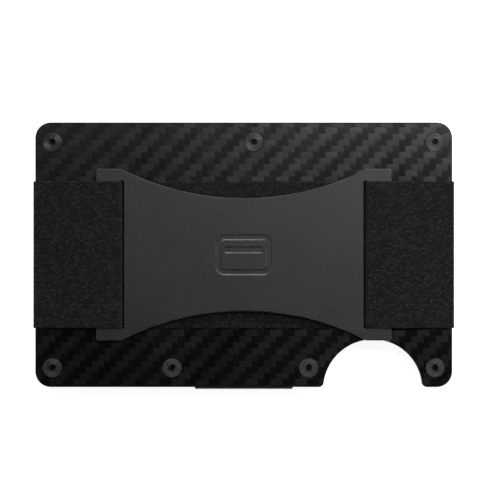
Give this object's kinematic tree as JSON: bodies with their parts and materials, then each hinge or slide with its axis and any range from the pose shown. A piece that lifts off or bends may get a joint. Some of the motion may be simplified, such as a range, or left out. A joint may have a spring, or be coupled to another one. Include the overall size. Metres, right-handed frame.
{
  "type": "minimalist wallet",
  "caption": "Slim card wallet: two carbon-fibre and aluminium plate halves joined by elastic, with a waisted metal cash-strap plate on an elastic band.",
  "frame": {"origin": "centre of the front outer plate's outer face, on the surface that the wallet lies on", "axes": "+X along the long side, +Y across it away from the thumb notch, +Z from the front face through the wallet to the cash strap"},
  "size_m": [0.0868, 0.055, 0.0086],
  "materials": {
    "carbon_fibre": "matte 2x2 twill carbon-fibre laminate",
    "inner_plate": "black anodised",
    "strap_metal": "satin dark grey coating, fine grain",
    "screw_steel": "black-oxide steel",
    "elastic": "black woven elastic webbing"
  },
  "bodies": {
    "front_half": {"front_outer_plate": "carbon_fibre", "front_inner_plate": "inner_plate", "card_band": "elastic", "bottom_band": "elastic", "front_screw_1": "screw_steel", "front_screw_2": "screw_steel", "front_screw_3": "screw_steel", "front_screw_4": "screw_steel", "front_screw_5": "screw_steel", "front_screw_6": "screw_steel", "front_screw_7": "screw_steel"},
    "back_half": {"back_inner_plate": "inner_plate", "back_outer_plate": "carbon_fibre", "strap_band": "elastic", "back_screw_1": "screw_steel", "back_screw_2": "screw_steel", "back_screw_3": "screw_steel", "back_screw_4": "screw_steel", "back_screw_5": "screw_steel", "back_screw_6": "screw_steel", "back_screw_7": "screw_steel"},
    "cash_strap": {"strap_plate": "strap_metal"}
  },
  "joints": [
    {"name": "card_gap_slide", "type": "slide", "parent": "front_half", "child": "back_half", "axis": [0, 0, 1], "range_m": [0, 0.009], "stiffness_N_per_m": 600, "springref_m": -0.006, "deforming": ["card_band", "bottom_band"]},
    {"name": "cash_strap_slide", "type": "slide", "parent": "back_half", "child": "cash_strap", "axis": [0, 0, 1], "range_m": [0, 0.004], "stiffness_N_per_m": 300, "springref_m": -0.005, "deforming": ["strap_band"]}
  ]
}
